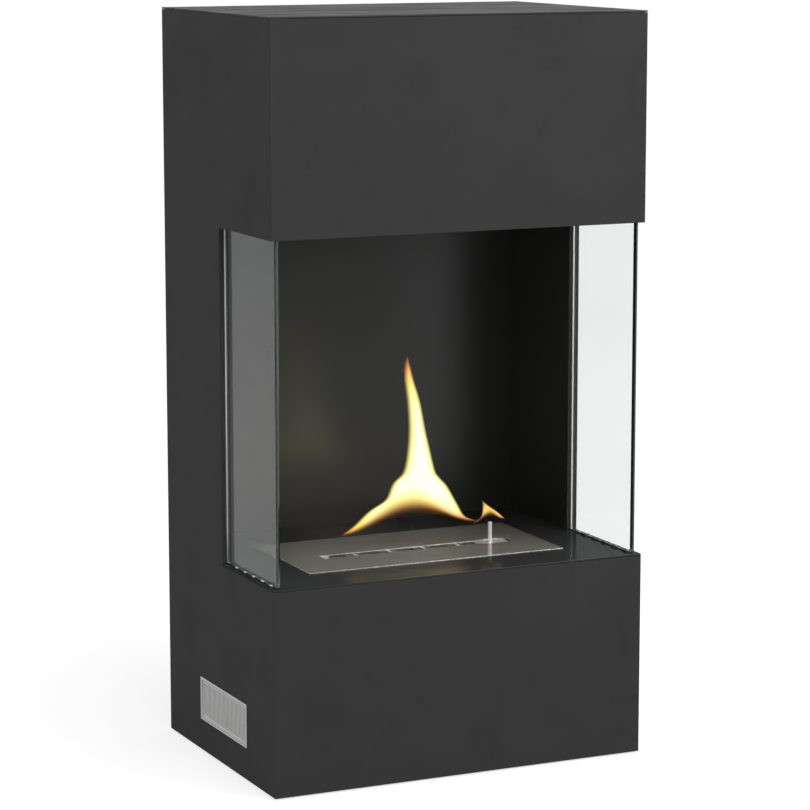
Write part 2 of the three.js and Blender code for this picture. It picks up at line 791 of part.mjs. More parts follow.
// Flame windows at the bridges' pitch, half a pitch to the left of each
// bridge, and one more by the pin that stops at the end of the slot.
function windows() {
  const middles = [...bridgeXs, lastBridgeX + BRIDGE_PITCH]
    .map((x) => x - BRIDGE_PITCH / 2);
  return middles.map((x) => [
    x - WINDOW_LENGTH / 2,
    Math.min(x + WINDOW_LENGTH / 2, slotX1 - WINDOW_MARGIN),
  ]);
}

function windowHoles(width) {
  return windows().map((ends) => rectangle(ends, [slotY - width / 2, slotY + width / 2]));
}

// The last open stretch of the slot runs into the wider part for the pin.
function keyholeOutline() {
  const [x0] = slotCells()[BRIDGE_COUNT];
  const narrow = SLOT_WIDTH / 2;
  const wide = SLOT_END_WIDTH / 2;
  const x2 = slotX1 + SLOT_END_LENGTH;
  const shape = new THREE.Shape();
  shape.moveTo(x0, slotY - narrow);
  shape.lineTo(slotX1, slotY - narrow);
  shape.lineTo(slotX1 + wide / 2, slotY - wide);
  shape.lineTo(x2 - wide, slotY - wide);
  shape.absarc(x2 - wide, slotY, wide, -Math.PI / 2, Math.PI / 2);
  shape.lineTo(slotX1 + wide / 2, slotY + wide);
  shape.lineTo(slotX1, slotY + narrow);
  shape.lineTo(x0, slotY + narrow);
  return shape;
}

function topPlate() {
  const outline = roundedRectangle(
    [plateX0, -plateX0], [plateY0, plateY1], PLATE_CORNER,
  );
  slotCells().slice(0, BRIDGE_COUNT).forEach((ends) => {
    outline.holes.push(rectangle(ends, [slotY - SLOT_WIDTH / 2, slotY + SLOT_WIDTH / 2]));
  });
  outline.holes.push(keyholeOutline());
  return sheet(outline, 'z', hearthZ, hearthZ + PLATE_SHEET);
}

function tank() {
  const outer = block([-tankX, tankX], [tankY0, tankY1], [tankZ0, hearthZ]);
  const hollow = block(
    [-tankX + TANK_WALL, tankX - TANK_WALL],
    [tankY0 + TANK_WALL, tankY1 - TANK_WALL],
    [tankZ0 + TANK_WALL, hearthZ + OVERSHOOT],
  );
  return cut(outer, [hollow]);
}

const tankInsideX = tankX - TANK_WALL;

function deck() {
  const outline = rectangle(
    [-tankInsideX + GAP, tankInsideX - GAP],
    [tankY0 + TANK_WALL + GAP, tankY1 - TANK_WALL - GAP],
  );
  outline.holes.push(...windowHoles(DECK_WINDOW_WIDTH));
  return sheet(outline, 'z', deckZ0, deckZ1);
}

function guide(edgeY0) {
  const x = tankInsideX - GUIDE_END_GAP;
  return block([-x, x], [edgeY0, edgeY0 + GUIDE_WIDTH], [deckZ1, hearthZ]);
}

// It covers every window of the deck when it is pushed right. Its ends stop
// against the tank's walls, at the two ends of the pin's travel.
function shutterPlate() {
  const x0 = -tankInsideX + travelLeft + STOP_CLEARANCE;
  const x1 = tankInsideX - travelRight - STOP_CLEARANCE;
  const half = SHUTTER_WIDTH / 2;
  const outline = rectangle([x0, x1], [slotY - half, slotY + half]);
  outline.holes.push(...windowHoles(SHUTTER_WINDOW_WIDTH));
  const plate = sheet(outline, 'z', shutterZ0, shutterZ1);
  const length = SHUTTER_SHEET + 2 * OVERSHOOT;
  const hole = rod(PIN_SPIGOT_RADIUS + GAP, length, 'z', [pinX, slotY, shutterZ0 - OVERSHOOT]);
  return cut(plate, [hole]);
}

// A turned pin with a spigot in the shutter and a softened tip.
function shutterPin() {
  const top = hearthZ + PLATE_SHEET + PIN_HEIGHT;
  const profile = [
    [0, shutterZ0],
    [PIN_SPIGOT_RADIUS, shutterZ0],
    [PIN_SPIGOT_RADIUS, shutterZ1],
    [PIN_RADIUS, shutterZ1],
    [PIN_RADIUS, top - PIN_TIP],
    [PIN_RADIUS - PIN_TIP, top],
    [0, top],
  ].map(([r, z]) => new THREE.Vector2(r, z));
  const pin = new THREE.LatheGeometry(profile, ROUND_SIDES);
  return solid(pin.rotateX(Math.PI / 2).translate(pinX, slotY, 0));
}

function woolPad() {
  const reach = TANK_WALL + WOOL_GAP;
  return block(
    [-tankX + reach, tankX - reach],
    [tankY0 + reach, tankY1 - reach],
    [tankZ0 + TANK_WALL, deckZ0 - FUEL_SPACE],
  );
}

add('burner_top_plate', topPlate(), brushedSteel);
add('fuel_tank', tank(), brushedSteel);
add('burner_deck', deck(), brushedSteel);
add('shutter_front_guide', guide(slotY - SHUTTER_WIDTH / 2 - GAP - GUIDE_WIDTH), brushedSteel);
add('shutter_rear_guide', guide(slotY + SHUTTER_WIDTH / 2 + GAP), brushedSteel);
add('ceramic_wool_pad', woolPad(), whiteWool);
add('shutter_plate', shutterPlate(), brushedSteel);
add('shutter_pin', shutterPin(), brushedSteel);

export default fireplace;
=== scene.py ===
# %% [markdown]
# # A bioethanol fireplace
#
# The casing is a tall box of powder-coated sheet steel with a see-through fire opening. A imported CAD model
# already holds every metal sheet, pane and screw at its true size, so this lesson is about looks: light,
# paint, brushed steel, glass and a flame. Every length is in metres, +X is the fireplace's right, -Y its
# open front and +Z is up. Where a finish needs to know how far a piece reaches, it reads that from the model.

import json
from math import atan2, cos, radians, sin

import bmesh
import bpy
import numpy as np
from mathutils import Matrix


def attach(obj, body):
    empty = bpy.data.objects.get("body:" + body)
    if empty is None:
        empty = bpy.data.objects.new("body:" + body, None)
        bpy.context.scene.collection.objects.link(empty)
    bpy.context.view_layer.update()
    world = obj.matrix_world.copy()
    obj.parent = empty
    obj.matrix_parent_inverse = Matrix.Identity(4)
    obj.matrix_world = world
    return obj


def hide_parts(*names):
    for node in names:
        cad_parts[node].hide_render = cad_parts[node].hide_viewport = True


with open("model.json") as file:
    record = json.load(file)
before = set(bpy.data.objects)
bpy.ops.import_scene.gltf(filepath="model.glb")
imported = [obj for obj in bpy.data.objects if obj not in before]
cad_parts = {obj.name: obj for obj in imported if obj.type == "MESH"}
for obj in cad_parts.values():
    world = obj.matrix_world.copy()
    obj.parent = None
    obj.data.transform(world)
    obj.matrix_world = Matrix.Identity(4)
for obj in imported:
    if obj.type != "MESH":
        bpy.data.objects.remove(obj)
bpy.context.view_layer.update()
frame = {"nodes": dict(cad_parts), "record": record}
print("pieces from the CAD model:", len(frame["nodes"]))


# %% Read places from the CAD pieces
def extent(name):
    """The lowest and the highest corner of a CAD piece's box, rounded to a micrometre."""
    vertices = frame["nodes"][name].data.vertices
    places = np.empty(3 * len(vertices), np.float32)
    vertices.foreach_get("co", places)
    places = places.reshape(-1, 3).astype(float)
    return places.min(axis=0).round(6), places.max(axis=0).round(6)


print("burner plate from, to:", *extent("burner_top_plate"))

# %% [markdown]
# ## The camera
#
# A long lens almost four metres away gives the calm perspective of a catalogue picture. The camera stands
# to the left of the fireplace and a little above its top, and looks slightly down. It is aimed with its own
# compass heading and dip, which are easier to reason about than a target object.

# %% Place the camera
CAMERA_PLACE = (-1.5500, -3.3290, 1.0353)
CAMERA_HEADING = 0.43692  # radians from +Y towards +X
CAMERA_DIP = 0.16559  # radians below level
LENS_MM, SENSOR_MM = 136.06, 36.0

camera_data = bpy.data.cameras.new("camera")
camera_data.lens = LENS_MM
camera_data.sensor_width = SENSOR_MM
camera = bpy.data.objects.new("camera", camera_data)
camera.location = CAMERA_PLACE
camera.rotation_euler = (radians(90) - CAMERA_DIP, 0.0, -CAMERA_HEADING)
bpy.context.scene.collection.objects.link(camera)
bpy.context.scene.camera = camera
bpy.context.scene.view_settings.view_transform = "Standard"
print("camera height:", CAMERA_PLACE[2])


# %% [markdown]
# ## Helpers for node materials
#
# Every finish below is a small network of shader nodes. A few helpers keep the cells short: one adds a node,
# sets its values and joins its inputs in a single call, one opens a material with a Principled shader in it,
# and one opens a node group, which is a network that several materials share.

# %% Helpers for node networks
def feed(tree, node, inputs):
    """Fills a node's inputs. Each one is given a plain value, or a socket to join to it."""
    for name, value in inputs.items():
        if isinstance(value, bpy.types.NodeSocket):
            tree.links.new(value, node.inputs[name])
        else:
            node.inputs[name].default_value = value


def put(tree, kind, inputs=None, **settings):
    """Adds a node. Settings are its own properties, and inputs are those that feed fills."""
    node = tree.nodes.new(kind)
    for name, value in settings.items():
        setattr(node, name, value)
    feed(tree, node, inputs or {})
    return node


def arithmetic(tree, kind, first, second):
    """One sum on two sockets or numbers."""
    return put(tree, "ShaderNodeMath", {0: first, 1: second}, operation=kind).outputs[0]


def empty_tree(owner):
    """Switches on the nodes of a material or a world, and clears them away."""
    owner.use_nodes = True
    owner.node_tree.nodes.clear()
    return owner.node_tree


def open_finish(name):
    """A new material that holds only a Principled shader and an output. Returns material, tree, shader."""
    material = bpy.data.materials.new(name)
    tree = empty_tree(material)
    shader = put(tree, "ShaderNodeBsdfPrincipled")
    put(tree, "ShaderNodeOutputMaterial", {"Surface": shader.outputs["BSDF"]})
    return material, tree, shader


def open_group(name, numbers, output="Mask"):
    """A new node group with named number inputs and one number output. Returns group, input node, output
    node."""
    group = bpy.data.node_groups.new(name, "ShaderNodeTree")
    for label, value in numbers.items():
        socket = group.interface.new_socket(label, in_out="INPUT", socket_type="NodeSocketFloat")
        socket.default_value = value
    group.interface.new_socket(output, in_out="OUTPUT", socket_type="NodeSocketFloat")
    return group, group.nodes.new("NodeGroupInput"), group.nodes.new("NodeGroupOutput")


# %% [markdown]
# ## Light and background
#
# The picture has a plain white background, yet the steel is lit softly from above. So the world is white
# where it is looked at, straight on or through glass, and gives a quieter grey light to the surfaces and
# their reflections. The floor works the same way: it adds just enough glow of its own for the camera to
# read white, and still takes the fireplace's soft shadow.

# %% A strength that depends on the kind of ray
def by_ray(tree, on_surfaces, in_mirrors):
    """1 for a ray from the camera, straight or through glass. For any other ray it is in_mirrors if the ray
    comes off something glossy, and else on_surfaces."""
    rays = put(tree, "ShaderNodeLightPath")
    seen = arithmetic(tree, "MAXIMUM", rays.outputs["Is Camera Ray"], rays.outputs["Is Transmission Ray"])
    unseen = put(tree, "ShaderNodeMix", {0: rays.outputs["Is Glossy Ray"], 2: on_surfaces, 3: in_mirrors})
    return put(tree, "ShaderNodeMix", {0: seen, 2: unseen.outputs[0], 3: 1.0}).outputs[0]


# %% A world that is white to look at
WORLD_LIGHT = 0.48
REFLECTED_WORLD = 0.58
WHITE = (1.0, 1.0, 1.0, 1.0)

world = bpy.data.worlds.new("studio")
sky = empty_tree(world)
backdrop = put(sky, "ShaderNodeBackground",
               {"Color": WHITE, "Strength": by_ray(sky, WORLD_LIGHT, REFLECTED_WORLD)})
put(sky, "ShaderNodeOutputWorld", {"Surface": backdrop.outputs[0]})
bpy.context.scene.world = world
print("world light:", WORLD_LIGHT)

# %% A pale floor that keeps the shadow
FLOOR_HALF = 16.0
FLOOR_COLOUR = (0.40, 0.40, 0.40, 1.0)
NEAR_GLOW = 0.68  # under the lamps, which bring the rest
FAR_GLOW = 0.82
NEAR, FAR = 0.6, 5.5  # where the lamps' pool of light is full, and where it has faded
GLOSSY_SHARE = 0.04  # of the glow, in mirrors

floor_mesh = bpy.data.meshes.new("floor")
corners = np.array([(-1, -1), (1, -1), (1, 1), (-1, 1)], float) * FLOOR_HALF
floor_mesh.from_pydata(np.column_stack([corners, np.zeros(4)]).tolist(), [], [(0, 1, 2, 3)])
floor = bpy.data.objects.new("floor", floor_mesh)
bpy.context.scene.collection.objects.link(floor)

pale = bpy.data.materials.new("pale_floor")
tree = empty_tree(pale)
matt = put(tree, "ShaderNodeBsdfDiffuse", {"Color": FLOOR_COLOUR})
place = put(tree, "ShaderNodeTexCoord")
reach = put(tree, "ShaderNodeVectorMath", {0: place.outputs["Object"]}, operation="LENGTH")
glow_here = put(tree, "ShaderNodeMapRange", {
    "Value": reach.outputs["Value"], "From Min": NEAR, "From Max": FAR,
    "To Min": NEAR_GLOW, "To Max": FAR_GLOW}, interpolation_type="SMOOTHSTEP")
amount = arithmetic(tree, "MULTIPLY", by_ray(tree, 0.0, GLOSSY_SHARE), glow_here.outputs["Result"])
glow = put(tree, "ShaderNodeEmission", {"Color": WHITE, "Strength": amount})
both = put(tree, "ShaderNodeAddShader", {0: matt.outputs[0], 1: glow.outputs[0]})
put(tree, "ShaderNodeOutputMaterial", {"Surface": both.outputs[0]})
floor_mesh.materials.append(pale)
print("floor width:", 2 * FLOOR_HALF)


# %% Four soft lamps
def softbox(name, place, target, width, power):
    """A square area lamp of a given width and power in watts, which points from its place to a target."""
    data = bpy.data.lights.new(name, "AREA")
    data.size = width
    data.energy = power
    lamp = bpy.data.objects.new(name, data)
    lamp.location = place
    dx, dy, dz = (t - p for t, p in zip(target, place))
    lamp.rotation_euler = (atan2((dx * dx + dy * dy) ** 0.5, -dz), 0.0, atan2(dy, dx) - radians(90))
    lamp.visible_camera = False
    bpy.context.scene.collection.objects.link(lamp)
    print(name, "watts:", power)


softbox("lamp_above", place=(0.4, -1.2, 3.2), target=(0.0, 0.0, 0.6), width=2.4, power=74.0)
softbox("lamp_front_right", place=(2.2, -2.8, 1.9), target=(0.0, 0.0, 0.5), width=1.6, power=50.0)
softbox("lamp_left", place=(-3.2, -0.3, 1.5), target=(0.0, 0.0, 0.45), width=2.0, power=30.0)
softbox("lamp_behind", place=(3.0, 1.9, 0.55), target=(0.0, 0.0, 0.45), width=0.7, power=14.0)

# %% [markdown]
# ## Shared surface effects
#
# Sheet steel is never one flat colour. Three effects are used again and again: soft blotches, where a coat
# of powder lies a little thicker or thinner; the fine orange-peel skin of that coat; and the long scratches
# of brushed metal. Each is a node group, built once, and gives out a mask or a height that a finish mixes in.

# %% Soft blotches
blotches, given, result = open_group(
    "soft_blotches", {"Scale": 12.0, "From": 0.45, "To": 0.75, "Warp": 0.6})
place = put(blotches, "ShaderNodeTexCoord")
clouds = put(blotches, "ShaderNodeTexNoise", {
    "Vector": place.outputs["Object"], "Scale": given.outputs["Scale"], "Detail": 4.0, "Roughness": 0.55,
    "Distortion": given.outputs["Warp"]})
mask = put(blotches, "ShaderNodeMapRange", {
    "Value": clouds.outputs["Fac"], "From Min": given.outputs["From"], "From Max": given.outputs["To"]},
    interpolation_type="SMOOTHSTEP")
feed(blotches, result, {"Mask": mask.outputs["Result"]})

# %% Orange peel
peel, given, result = open_group("orange_peel", {"Scale": 900.0}, output="Height")
place = put(peel, "ShaderNodeTexCoord")
bumps = put(peel, "ShaderNodeTexNoise", {
    "Vector": place.outputs["Object"], "Scale": given.outputs["Scale"], "Detail": 2.0, "Roughness": 0.5})
feed(peel, result, {"Height": bumps.outputs["Fac"]})

# %% Brushed lines
brushed, given, result = open_group(
    "brushed_lines", {"Along X": 10.0, "Along Y": 900.0, "Along Z": 900.0})
place = put(brushed, "ShaderNodeTexCoord")
stretch = put(brushed, "ShaderNodeCombineXYZ", {
    0: given.outputs["Along X"], 1: given.outputs["Along Y"], 2: given.outputs["Along Z"]})
stretched = put(brushed, "ShaderNodeVectorMath", {0: place.outputs["Object"], 1: stretch.outputs[0]},
                operation="MULTIPLY")
lines = put(brushed, "ShaderNodeTexNoise", {
    "Vector": stretched.outputs[0], "Scale": 1.0, "Detail": 3.0, "Roughness": 0.65})
feed(brushed, result, {"Mask": lines.outputs["Fac"]})
print("shared effects:", [group.name for group in bpy.data.node_groups])


# %% Place an effect and mix with it
def effect(tree, group, **values):
    """The output of a shared effect that is placed in a finish with its own values. A name's underscores
    stand for spaces."""
    node = put(tree, "ShaderNodeGroup", node_tree=group)
    feed(tree, node, {name.replace("_", " "): value for name, value in values.items()})
    return node.outputs[0]


def blend_colour(tree, share, first, second):
    """A colour that goes from first to second as share goes from 0 to 1."""
    return put(tree, "ShaderNodeMix", {0: share, 6: first, 7: second}, data_type="RGBA").outputs[2]


def between(tree, share, low, high):
    """A number that goes from low to high as share goes from 0 to 1."""
    return put(tree, "ShaderNodeMapRange", {"Value": share, "To Min": low, "To Max": high}).outputs["Result"]


def join_bump(tree, shader, height, distance, strength):
    """Lifts the surface's normal by a height, whose full range stands for a distance in metres. The strength
    says how much of the lift shows."""
    bump = put(tree, "ShaderNodeBump", {"Strength": strength, "Distance": distance, "Height": height})
    feed(tree, shader, {"Normal": bump.outputs["Normal"]})


def skin(tree, shader, scale, depth, strength):
    """Gives a coat of paint its orange peel, with about scale bumps in a metre, and depth in metres."""
    join_bump(tree, shader, effect(tree, peel, Scale=scale), depth, strength)


def tell(material):
    """Prints the name of a finish and how many nodes make it."""
    print("finish", material.name, "nodes:", len(material.node_tree.nodes))


# %% [markdown]
# ## Marks at a known place
#
# Some marks belong to one place on a piece, such as a bright bridge across the burner's slot. Painting them
# in an image would tie them to its pixels. Here a mark is a band along one axis: 1 near its middle, 0
# further away, with a short ramp between. Two bands multiplied make a rectangle, and a remainder of the
# coordinate repeats a band at an even step.

# %% A mask for one stretch of an axis
band, given, result = open_group("band_mask", {"Value": 0.0, "Middle": 0.0, "Half": 0.01, "Blur": 0.001})
apart = arithmetic(band, "SUBTRACT", given.outputs["Value"], given.outputs["Middle"])
past = arithmetic(band, "SUBTRACT", arithmetic(band, "ABSOLUTE", apart, 0.0), given.outputs["Half"])
share = arithmetic(band, "DIVIDE", past, given.outputs["Blur"])
inside = put(band, "ShaderNodeMath", {0: 1.0, 1: share}, operation="SUBTRACT", use_clamp=True)
feed(band, result, {"Mask": inside.outputs[0]})
print("shared effects:", len(bpy.data.node_groups))


def axis(tree, letter):
    """The Object coordinate along X, Y or Z."""
    place = put(tree, "ShaderNodeTexCoord")
    return put(tree, "ShaderNodeSeparateXYZ", {0: place.outputs["Object"]}).outputs[letter]


def in_band(tree, value, middle, half, blur):
    """1 where the value is within half of the middle, and 0 further off than that and the blur."""
    return effect(tree, band, Value=value, Middle=middle, Half=half, Blur=blur)


def in_bands(tree, value, first, pitch, half, blur):
    """in_band for bands without end, whose middles are at first and every pitch from there."""
    step = arithmetic(tree, "FLOORED_MODULO", arithmetic(tree, "ADD", value, pitch / 2 - first), pitch)
    return in_band(tree, step, pitch / 2, half, blur)


def overlap(tree, first, second):
    """The part that two masks share."""
    return arithmetic(tree, "MULTIPLY", first, second)


# %% [markdown]
# ## The casing's powder coat
#
# Anthracite powder coat is almost matt. Seen close it has a fine skin, and seen from a step away it shows
# soft darker clouds the size of a thumb, with a few larger ones. Both are worked from the same blotch group
# at two scales. The large clouds are also a little rougher. The top has been wiped, which leaves long,
# slightly smoother streaks where light skims over it.

# %% Casing paint
CASING_COLOUR = (0.0352, 0.0352, 0.0355, 1.0)
CASING_SHADE = (0.0278, 0.0278, 0.0282, 1.0)
LARGE_CLOUDS = 0.30  # how much of the shade a large cloud brings
POWDER_SKIN = {"scale": 850.0, "depth": 0.00006, "strength": 0.5}

casing_paint, tree, shader = open_finish("anthracite_powder_coat")
small = effect(tree, blotches, Scale=34.0, From=0.56, To=0.80, Warp=0.1)
large = effect(tree, blotches, Scale=8.0, From=0.42, To=0.78, Warp=0.2)
tinted = blend_colour(tree, small, CASING_COLOUR, CASING_SHADE)
shaded = arithmetic(tree, "MULTIPLY", large, LARGE_CLOUDS)
feed(tree, shader, {
    "Base Color": blend_colour(tree, shaded, tinted, CASING_SHADE),
    "Roughness": between(tree, large, 0.60, 0.70),
    "Specular IOR Level": 0.15})
skin(tree, shader, **POWDER_SKIN)
tell(casing_paint)

# %% Top paint, the same coat with long streaks from being wiped
TOP_STREAK = (0.0430, 0.0430, 0.0435, 1.0)

top_paint, tree, shader = open_finish("wiped_powder_coat")
streaks = effect(tree, brushed, Along_X=9.0, Along_Y=34.0, Along_Z=34.0)
clouds = effect(tree, blotches, Scale=11.0, From=0.35, To=0.70, Warp=0.3)
wiped = put(tree, "ShaderNodeMapRange", {"Value": streaks, "From Min": 0.36, "From Max": 0.62},
            interpolation_type="SMOOTHSTEP").outputs["Result"]
tinted = blend_colour(tree, wiped, CASING_SHADE, TOP_STREAK)
feed(tree, shader, {
    "Base Color": blend_colour(tree, clouds, tinted, CASING_COLOUR),
    "Roughness": between(tree, wiped, 0.62, 0.42),
    "Specular IOR Level": 0.22})
skin(tree, shader, **POWDER_SKIN)
tell(top_paint)

# %% [markdown]
# ## The firebox paint
#
# Inside the fire opening the sheets are black and smoother, so the back wall carries a soft glow from the
# flame and a faint picture of the bright room. Heat leaves cloudy, slightly rougher patches.

# %% Firebox paint
FIREBOX_COLOUR = (0.0172, 0.0172, 0.0163, 1.0)
FIREBOX_HAZE = (0.0228, 0.0224, 0.0206, 1.0)

firebox_paint, tree, shader = open_finish("black_heat_paint")
haze = effect(tree, blotches, Scale=5.0, From=0.40, To=0.75, Warp=0.8)
feed(tree, shader, {
    "Base Color": blend_colour(tree, haze, FIREBOX_COLOUR, FIREBOX_HAZE),
    "Roughness": between(tree, haze, 0.30, 0.38),
    "Specular IOR Level": 0.5})
skin(tree, shader, scale=700.0, depth=0.00003, strength=0.3)
tell(firebox_paint)

# %% [markdown]
# ## The hearth paint
#
# The hearth floor is the smoothest sheet and mirrors the panes. Seen at a low angle plain paint would shine
# like water, and this one doesn't. A half metallic shader with a grey Specular Tint keeps that shine down.
# In front of the burner the flame's mirror image is blurred. A thin film is taken to be the cause, so a
# rough coat lies over the paint there, with a weight that comes from a band along X. The coat's warm tint is
# a painted reflection of the flame's glow.

# %% Hearth paint
FILM_GLOW_MIDDLE, FILM_GLOW_HALF, FILM_GLOW_BLUR = -0.045, 0.020, 0.110  # the film with its painted warm reflection of the flame, along X
FILM_GLOW_WEIGHT = 0.55
# painted reflection: the coat's warm tint paints the flame's glow into the hearth's mirror
PAINTED_GLOW_TINT = (1.0, 0.94, 0.82, 1.0)
HEARTH_COLOUR = (0.0450, 0.0468, 0.0475, 1.0)
HEARTH_HAZE = (0.0570, 0.0590, 0.0598, 1.0)
HEARTH_SKIMMED = (0.47, 0.48, 0.48, 1.0)  # what is left of its shine where light skims it

hearth_paint, tree, shader = open_finish("black_hearth_paint")
haze = effect(tree, blotches, Scale=14.0, From=0.40, To=0.75, Warp=0.3)
film_and_glow = in_band(tree, axis(tree, "X"), FILM_GLOW_MIDDLE, FILM_GLOW_HALF, FILM_GLOW_BLUR)
feed(tree, shader, {
    "Base Color": blend_colour(tree, haze, HEARTH_COLOUR, HEARTH_HAZE),
    "Roughness": between(tree, haze, 0.10, 0.16),
    "Metallic": 0.5, "Specular IOR Level": 0.0, "Specular Tint": HEARTH_SKIMMED,
    "Coat Weight": between(tree, film_and_glow, 0.0, FILM_GLOW_WEIGHT), "Coat Roughness": 0.30, "Coat Tint": PAINTED_GLOW_TINT})
skin(tree, shader, scale=700.0, depth=0.00001, strength=0.3)
tell(hearth_paint)

# %% [markdown]
# ## The metals left bare
#
# The burner is brushed stainless steel with a faint straw tint from the heat; its brush marks run along its
# length. The bridges across its slot and the plate's rim carry a painted highlight. The air grilles are
# brushed upright, and their frames' edges carry a painted highlight. The hidden angles, rails and screws are
# zinc-plated, which shows as pale cloudy crystals.

# %% Where the burner's slot and bridges are
windows = np.array([opening["box_m"] for opening in frame["record"]["physics"]["openings"]
                    if opening["name"].startswith("flame_window")])
window_ends = windows[:, :, 0]
bridge_middles = (window_ends[:-1, 1] + window_ends[1:, 0]) / 2
slot_y = windows[0, :, 1].mean()
print("bridges at x:", bridge_middles.round(4), "slot at y:", slot_y)

# %% Burner steel
BURNER_COLOUR = (0.250, 0.245, 0.231, 1.0)
BURNER_STRAW = (0.215, 0.204, 0.178, 1.0)
BURNER_PAINTED_HIGHLIGHT = (0.78, 0.775, 0.755, 1.0)
SLOT_HALF, BRIDGE_HALF = 0.0085, 0.0015
BRIDGE_ROOM = 0.004  # kept beyond the first and the last bridge
RIM_BELOW, RIM_HALF, RIM_BLUR = 0.0004, 0.0003, 0.0001  # the rim's painted highlight, down from the plate's top
CRISP = 0.0002  # blur of a mark with a clear edge
BRIDGE_DULLER = 0.30  # roughness that a bridge adds

burner_steel, tree, shader = open_finish("brushed_burner_steel")
grain = effect(tree, brushed, Along_X=14.0, Along_Y=1500.0, Along_Z=1500.0)
streaks = effect(tree, brushed, Along_X=7.0, Along_Y=75.0, Along_Z=75.0)
warmth = effect(tree, blotches, Scale=11.0, From=0.42, To=0.80, Warp=0.5)
tinted = blend_colour(tree, warmth, BURNER_COLOUR, BURNER_STRAW)
body = blend_colour(tree, between(tree, streaks, -0.35, 1.35), tinted, BURNER_STRAW)

# painted highlight: the bridges across the slot and the plate's rim are coloured bright
first, last = bridge_middles[0], bridge_middles[-1]
pitch = bridge_middles[1] - first
repeated = overlap(tree, in_bands(tree, axis(tree, "X"), first, pitch, BRIDGE_HALF, CRISP),
                   in_band(tree, axis(tree, "Y"), slot_y, SLOT_HALF, CRISP))
row = in_band(tree, axis(tree, "X"), (first + last) / 2, (last - first) / 2 + BRIDGE_ROOM, CRISP)
bridge = overlap(tree, repeated, row)
plate_top = extent("burner_top_plate")[1][2]
highlight_breaks = effect(tree, brushed, Along_X=330.0, Along_Y=2.0, Along_Z=2.0)
rim = overlap(tree, in_band(tree, axis(tree, "Z"), plate_top - RIM_BELOW, RIM_HALF, RIM_BLUR),
              between(tree, highlight_breaks, -1.4, 2.6))
painted_highlight = arithmetic(tree, "MAXIMUM", bridge, rim)
feed(tree, shader, {
    "Base Color": blend_colour(tree, painted_highlight, body, BURNER_PAINTED_HIGHLIGHT),
    "Roughness": arithmetic(tree, "ADD", between(tree, grain, 0.10, 0.24),
                            arithmetic(tree, "MULTIPLY", bridge, BRIDGE_DULLER)),
    "Metallic": 0.35, "Specular IOR Level": 0.30})
join_bump(tree, shader, grain, distance=0.00002, strength=0.4)
tell(burner_steel)

# %% Shutter steel, darker in the middle along X and bright at its ends
SHUTTER_COLOUR = (0.82, 0.815, 0.795, 1.0)
SHUTTER_DARK = (0.150, 0.146, 0.135, 1.0)
DARK_MIDDLE, DARK_HALF, DARK_BLUR = -0.0100, 0.0970, 0.002  # the darker part, along X

shutter_low, shutter_high = extent("shutter_plate")
plate_middle = (shutter_low[2] + shutter_high[2]) / 2
plate_half = (shutter_high[2] - shutter_low[2]) / 2

shutter_steel, tree, shader = open_finish("shutter_steel")
grain = effect(tree, brushed, Along_X=20.0, Along_Y=1100.0, Along_Z=1100.0)
darker_middle = overlap(tree, in_band(tree, axis(tree, "X"), DARK_MIDDLE, DARK_HALF, DARK_BLUR),
                 in_band(tree, axis(tree, "Z"), plate_middle, plate_half + CRISP, CRISP))
feed(tree, shader, {
    "Base Color": blend_colour(tree, darker_middle, SHUTTER_COLOUR, SHUTTER_DARK),
    "Roughness": between(tree, grain, 0.30, 0.46),
    "Metallic": 0.6})
join_bump(tree, shader, grain, distance=0.00002, strength=0.3)
tell(shutter_steel)

# %% Grille steel
GRILLE_COLOUR = (0.86, 0.86, 0.855, 1.0)
GRILLE_DULL = (0.78, 0.78, 0.775, 1.0)
GRILLE_PAINTED_HIGHLIGHT = (1.0, 1.0, 0.99, 1.0)
GRILLE_FACE = (0.70, 0.70, 0.695, 1.0)  # the frame's flat face inside its edge with the painted highlight
EDGE_Y, EDGE_Z, EDGE_BLUR = 0.0070, 0.0068, 0.0004  # the painted highlight's width at the ends, and above and below
FACE_DEPTH = 0.0010  # the frame's face is further out than this below its front, and the insert isn't

grille_low, grille_high = extent("right_grille_frame")
grille_middle, grille_half = (grille_low + grille_high) / 2, (grille_high - grille_low) / 2

grille_steel, tree, shader = open_finish("satin_grille_steel")
grain = effect(tree, brushed, Along_X=1300.0, Along_Y=1300.0, Along_Z=16.0)
dull = effect(tree, blotches, Scale=45.0, From=0.45, To=0.80, Warp=0.3)
field = overlap(tree, in_band(tree, axis(tree, "Y"), grille_middle[1], grille_half[1] - EDGE_Y, EDGE_BLUR),
                in_band(tree, axis(tree, "Z"), grille_middle[2], grille_half[2] - EDGE_Z, EDGE_BLUR))
tinted = blend_colour(tree, dull, GRILLE_COLOUR, GRILLE_DULL)
out = arithmetic(tree, "ABSOLUTE", axis(tree, "X"), 0.0)
face = arithmetic(tree, "GREATER_THAN", out, grille_high[0] - FACE_DEPTH)
# painted highlight along the grille's edge, outside the field
feed(tree, shader, {
    "Base Color": blend_colour(tree, field, GRILLE_PAINTED_HIGHLIGHT, blend_colour(tree, face, tinted, GRILLE_FACE)),
    "Roughness": between(tree, grain, 0.34, 0.50),
    "Metallic": 0.8})
join_bump(tree, shader, grain, distance=0.00002, strength=0.4)
tell(grille_steel)

# %% Zinc plate
ZINC_COLOUR = (0.40, 0.41, 0.43, 1.0)
ZINC_PALE = (0.52, 0.53, 0.54, 1.0)
CRYSTALS = 260.0  # in a metre

zinc_steel, tree, shader = open_finish("zinc_plate")
place = put(tree, "ShaderNodeTexCoord")
crystal = put(tree, "ShaderNodeTexVoronoi", {"Vector": place.outputs["Object"], "Scale": CRYSTALS})
patch = put(tree, "ShaderNodeSeparateColor", {0: crystal.outputs["Color"]})
feed(tree, shader, {
    "Base Color": blend_colour(tree, patch.outputs[0], ZINC_COLOUR, ZINC_PALE),
    "Roughness": between(tree, patch.outputs[1], 0.38, 0.52),
    "Metallic": 1.0})
tell(zinc_steel)
